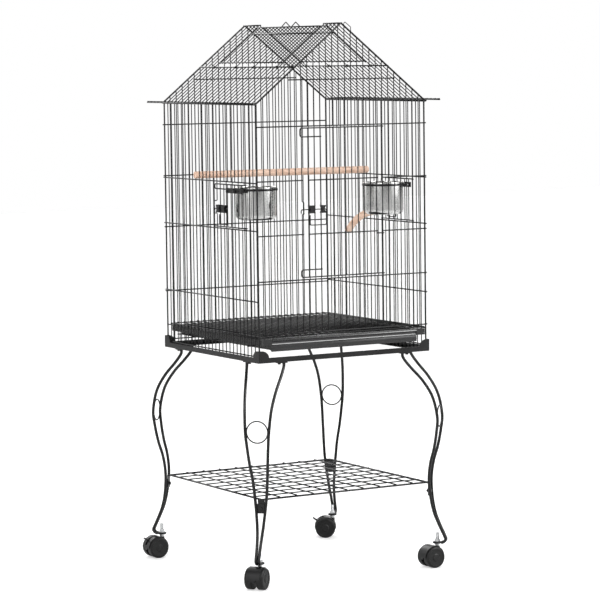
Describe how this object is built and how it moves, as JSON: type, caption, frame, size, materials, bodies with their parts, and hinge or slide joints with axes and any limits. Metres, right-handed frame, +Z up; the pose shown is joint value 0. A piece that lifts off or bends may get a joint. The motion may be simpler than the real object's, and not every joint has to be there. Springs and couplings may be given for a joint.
{
  "type": "bird cage on stand",
  "caption": "Wire bird cage with a gabled opening roof, front and side doors, cups, perches and a slide-out tray, on a curved-leg rolling stand with a wire shelf.",
  "frame": {"origin": "on the floor under the middle of the cage", "axes": "+Z up, +X to the right seen from the front, front with the large door towards -Y"},
  "size_m": [0.5628, 0.5666, 1.2886],
  "materials": {
    "wire_black": "semi-gloss powder coat",
    "frame_black": "semi-gloss powder coat",
    "tray_black": "satin moulded plastic",
    "clip_black": "satin",
    "caster_black": "satin",
    "wheel_black": "satin",
    "zinc": "zinc plated",
    "stainless": "polished stainless steel",
    "wood": "bare smooth beech"
  },
  "bodies": {
    "cage": {"stand_top_frame": "frame_black", "near_leg": "frame_black", "left_leg": "frame_black", "right_leg": "frame_black", "back_leg": "frame_black", "leg_bolts": "frame_black", "shelf": "frame_black", "shelf_screws": "frame_black", "near_caster_stem": "zinc", "left_caster_stem": "zinc", "right_caster_stem": "zinc", "back_caster_stem": "zinc", "front_panel": "wire_black", "back_panel": "wire_black", "left_panel": "wire_black", "right_panel": "wire_black", "left_roof": "wire_black", "right_roof": "wire_black", "long_perch": "wood", "curved_perch": "wood", "curved_perch_bolt": "zinc"},
    "main_door": {"main_door": "wire_black", "main_door_guides": "clip_black"},
    "main_door_latch": {"main_door_latch": "wire_black"},
    "left_feeder_door": {"left_feeder_door": "wire_black", "left_feeder_guides": "clip_black", "left_cup_holder": "clip_black", "left_cup_clamp": "clip_black"},
    "left_feeder_latch": {"left_feeder_latch": "wire_black"},
    "left_cup": {"left_cup": "stainless"},
    "right_feeder_door": {"right_feeder_door": "wire_black", "right_feeder_guides": "clip_black", "right_cup_holder": "clip_black", "right_cup_clamp": "clip_black"},
    "right_feeder_latch": {"right_feeder_latch": "wire_black"},
    "right_cup": {"right_cup": "stainless"},
    "left_roof_flap": {"left_roof_flap": "wire_black"},
    "right_roof_flap": {"right_roof_flap": "wire_black"},
    "floor_grille": {"floor_grille": "wire_black"},
    "tray": {"tray": "tray_black"},
    "near_caster": {"near_caster_hood": "caster_black"},
    "near_wheels": {"near_caster_wheels": "wheel_black", "near_caster_axle": "zinc"},
    "left_caster": {"left_caster_hood": "caster_black"},
    "left_wheels": {"left_caster_wheels": "wheel_black", "left_caster_axle": "zinc"},
    "left_brake": {"left_brake_lever": "caster_black"},
    "right_caster": {"right_caster_hood": "caster_black"},
    "right_wheels": {"right_caster_wheels": "wheel_black", "right_caster_axle": "zinc"},
    "back_caster": {"back_caster_hood": "caster_black"},
    "back_wheels": {"back_caster_wheels": "wheel_black", "back_caster_axle": "zinc"},
    "back_brake": {"back_brake_lever": "caster_black"}
  },
  "joints": [
    {"name": "main_door_hinge", "type": "hinge", "parent": "cage", "child": "main_door", "pos_m": [0.10833, -0.225, 0.87], "axis": [0, 0, 1], "range_deg": [0, 140]},
    {"name": "main_latch_slide", "type": "slide", "parent": "main_door", "child": "main_door_latch", "axis": [1, 0, 0], "range_m": [0, 0.009]},
    {"name": "left_feeder_hinge", "type": "hinge", "parent": "cage", "child": "left_feeder_door", "pos_m": [-0.225, -0.171, 0.87], "axis": [0, 0, 1], "range_deg": [0, 100]},
    {"name": "left_latch_slide", "type": "slide", "parent": "left_feeder_door", "child": "left_feeder_latch", "axis": [0, -1, 0], "range_m": [0, 0.009]},
    {"name": "left_cup_lift", "type": "slide", "parent": "left_feeder_door", "child": "left_cup", "axis": [0, 0, 1], "range_m": [0, 0.08]},
    {"name": "right_feeder_hinge", "type": "hinge", "parent": "cage", "child": "right_feeder_door", "pos_m": [0.225, -0.171, 0.87], "axis": [0, 0, -1], "range_deg": [0, 100]},
    {"name": "right_latch_slide", "type": "slide", "parent": "right_feeder_door", "child": "right_feeder_latch", "axis": [0, -1, 0], "range_m": [0, 0.009]},
    {"name": "right_cup_lift", "type": "slide", "parent": "right_feeder_door", "child": "right_cup", "axis": [0, 0, 1], "range_m": [0, 0.08]},
    {"name": "left_flap_hinge", "type": "hinge", "parent": "cage", "child": "left_roof_flap", "pos_m": [-0.12737, 0, 1.18292], "axis": [0, -1, 0], "range_deg": [0, 150]},
    {"name": "right_flap_hinge", "type": "hinge", "parent": "cage", "child": "right_roof_flap", "pos_m": [0.12737, 0, 1.18292], "axis": [0, 1, 0], "range_deg": [0, 150]},
    {"name": "floor_grille_slide", "type": "slide", "parent": "cage", "child": "floor_grille", "axis": [0, -1, 0], "range_m": [0, 0.43]},
    {"name": "tray_slide", "type": "slide", "parent": "cage", "child": "tray", "axis": [0, -1, 0], "range_m": [0, 0.43]},
    {"name": "near_swivel", "type": "hinge", "parent": "cage", "child": "near_caster", "pos_m": [-0.24141, -0.24141, 0.045], "axis": [0, 0, 1], "continuous": true},
    {"name": "near_spin", "type": "hinge", "parent": "near_caster", "child": "near_wheels", "pos_m": [-0.25551, -0.25259, 0.025], "axis": [0.6211, -0.7837, 0], "continuous": true},
    {"name": "left_swivel", "type": "hinge", "parent": "cage", "child": "left_caster", "pos_m": [-0.24141, 0.24141, 0.045], "axis": [0, 0, 1], "continuous": true},
    {"name": "left_spin", "type": "hinge", "parent": "left_caster", "child": "left_wheels", "pos_m": [-0.25941, 0.24141, 0.025], "axis": [0, -1, 0], "continuous": true},
    {"name": "left_brake_hinge", "type": "hinge", "parent": "left_caster", "child": "left_brake", "pos_m": [-0.27041, 0.24141, 0.038], "axis": [0, -1, 0], "range_deg": [0, 25]},
    {"name": "right_swivel", "type": "hinge", "parent": "cage", "child": "right_caster", "pos_m": [0.24141, -0.24141, 0.045], "axis": [0, 0, 1], "continuous": true},
    {"name": "right_spin", "type": "hinge", "parent": "right_caster", "child": "right_wheels", "pos_m": [0.22341, -0.24141, 0.025], "axis": [0, -1, 0], "continuous": true},
    {"name": "back_swivel", "type": "hinge", "parent": "cage", "child": "back_caster", "pos_m": [0.24141, 0.24141, 0.045], "axis": [0, 0, 1], "continuous": true},
    {"name": "back_spin", "type": "hinge", "parent": "back_caster", "child": "back_wheels", "pos_m": [0.22598, 0.25068, 0.025], "axis": [-0.515, -0.8572, 0], "continuous": true},
    {"name": "back_brake_hinge", "type": "hinge", "parent": "back_caster", "child": "back_brake", "pos_m": [0.21655, 0.25634, 0.038], "axis": [-0.515, -0.8572, 0], "range_deg": [0, 25]}
  ]
}
